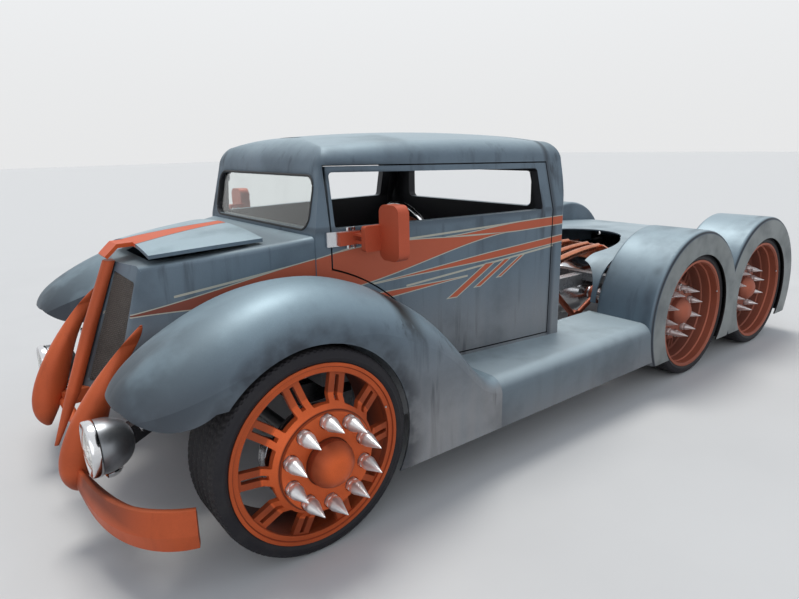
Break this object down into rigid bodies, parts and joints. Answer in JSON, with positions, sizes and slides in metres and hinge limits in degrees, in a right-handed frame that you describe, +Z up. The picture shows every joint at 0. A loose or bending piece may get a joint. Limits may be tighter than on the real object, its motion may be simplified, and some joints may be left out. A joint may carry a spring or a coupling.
{
  "type": "six-wheel custom hot rod",
  "caption": "Low custom hot rod with a chopped closed cab, V grille, pontoon front fenders, deep running boards, tandem rear axles under drum-shaped tubs, and spiked wheels.",
  "frame": {"origin": "on the ground under the middle of the overall box", "axes": "+X to the tail, +Y to the right side, +Z up"},
  "size_m": [4.572, 2.224, 1.4205],
  "materials": {
    "steel_blue_paint": "satin blue-grey paint with dark streaks",
    "copper_paint": "satin burnt copper-orange paint",
    "chrome": "bright plating",
    "tyre_rubber": "matt black rubber",
    "satin_black": "satin black paint",
    "polished_alloy": "polished",
    "grille_screen": "fine woven screen, warm grey",
    "lamp_glass": "clear fluted glass",
    "lamp_lens": "frosted lens",
    "screen_glass": "clear glass",
    "copper_hide": "stitched hide",
    "grey_satin": "satin grey metal",
    "cast_block": "painted cast iron"
  },
  "bodies": {
    "chassis": {"cab_shell": "steel_blue_paint", "hood_sides": "steel_blue_paint", "grille_mesh": "grille_screen", "grille_center_bar": "copper_paint", "front_bumper": "copper_paint", "headlamp_buckets": "grey_satin", "headlamp_lenses": "lamp_glass", "signal_lamps": "chrome", "front_fenders": "steel_blue_paint", "running_boards": "steel_blue_paint", "rear_tubs": "steel_blue_paint", "rear_deck": "steel_blue_paint", "frame_rails": "satin_black", "deck_tubes": "copper_paint", "cab_floor": "satin_black", "bench_seat": "copper_hide", "dashboard": "satin_black", "engine_block": "cast_block", "windscreen": "screen_glass", "steering_column": "satin_black", "front_axle_beam": "satin_black", "rear_axles": "polished_alloy", "air_springs": "tyre_rubber", "rear_links": "copper_paint", "tail_lamps": "lamp_lens", "nose_panels": "satin_black"},
    "hood": {"hood_lid": "steel_blue_paint"},
    "left_door": {"door_left": "steel_blue_paint", "mirror_left": "copper_paint"},
    "right_door": {"door_right": "steel_blue_paint", "mirror_right": "copper_paint"},
    "left_knuckle": {"knuckle_left": "satin_black"},
    "right_knuckle": {"knuckle_right": "satin_black"},
    "steering": {"steering_wheel": "chrome"},
    "front_left_wheel": {"rim_front_left": "copper_paint", "tyre_front_left": "tyre_rubber", "lugs_front_left": "chrome"},
    "front_right_wheel": {"rim_front_right": "copper_paint", "tyre_front_right": "tyre_rubber", "lugs_front_right": "chrome"},
    "rear_1_left_wheel": {"rim_rear_1_left": "copper_paint", "tyre_rear_1_left": "tyre_rubber", "lugs_rear_1_left": "chrome"},
    "rear_1_right_wheel": {"rim_rear_1_right": "copper_paint", "tyre_rear_1_right": "tyre_rubber", "lugs_rear_1_right": "chrome"},
    "rear_2_left_wheel": {"rim_rear_2_left": "copper_paint", "tyre_rear_2_left": "tyre_rubber", "lugs_rear_2_left": "chrome"},
    "rear_2_right_wheel": {"rim_rear_2_right": "copper_paint", "tyre_rear_2_right": "tyre_rubber", "lugs_rear_2_right": "chrome"}
  },
  "joints": [
    {"name": "front_left_spin", "type": "hinge", "parent": "left_knuckle", "child": "front_left_wheel", "pos_m": [-1.596, -0.8, 0.3665], "axis": [0, 1, 0], "continuous": true},
    {"name": "front_right_spin", "type": "hinge", "parent": "right_knuckle", "child": "front_right_wheel", "pos_m": [-1.596, 0.8, 0.3665], "axis": [0, 1, 0], "continuous": true},
    {"name": "rear_1_left_spin", "type": "hinge", "parent": "chassis", "child": "rear_1_left_wheel", "pos_m": [0.931, -0.8, 0.3665], "axis": [0, 1, 0], "continuous": true},
    {"name": "rear_1_right_spin", "type": "hinge", "parent": "chassis", "child": "rear_1_right_wheel", "pos_m": [0.931, 0.8, 0.3665], "axis": [0, 1, 0], "continuous": true},
    {"name": "rear_2_left_spin", "type": "hinge", "parent": "chassis", "child": "rear_2_left_wheel", "pos_m": [1.796, -0.8, 0.3665], "axis": [0, 1, 0], "continuous": true},
    {"name": "rear_2_right_spin", "type": "hinge", "parent": "chassis", "child": "rear_2_right_wheel", "pos_m": [1.796, 0.8, 0.3665], "axis": [0, 1, 0], "continuous": true},
    {"name": "steer_left", "type": "hinge", "parent": "chassis", "child": "left_knuckle", "pos_m": [-1.596, -0.791, 0.3665], "axis": [0, 0, 1], "range_deg": [-28, 28]},
    {"name": "steer_right", "type": "hinge", "parent": "chassis", "child": "right_knuckle", "pos_m": [-1.596, 0.791, 0.3665], "axis": [0, 0, 1], "range_deg": [-28, 28]},
    {"name": "steering_turn", "type": "hinge", "parent": "chassis", "child": "steering", "pos_m": [-0.696, -0.3, 0.93], "axis": [0.9511, 0, 0.309], "range_deg": [-420, 420]},
    {"name": "left_door_swing", "type": "hinge", "parent": "chassis", "child": "left_door", "pos_m": [-0.105, -0.701, 0.85], "axis": [0, 0, 1], "range_deg": [0, 65]},
    {"name": "right_door_swing", "type": "hinge", "parent": "chassis", "child": "right_door", "pos_m": [-0.105, 0.701, 0.85], "axis": [0, 0, -1], "range_deg": [0, 65]},
    {"name": "hood_lift", "type": "hinge", "parent": "chassis", "child": "hood", "pos_m": [-1.492, 0, 1.012], "axis": [0, 1, 0], "range_deg": [0, 50]}
  ],
  "couplings": [
    {"joint": "steer_right", "follows": "steer_left", "ratio": 1},
    {"joint": "steering_turn", "follows": "steer_left", "ratio": 15}
  ]
}
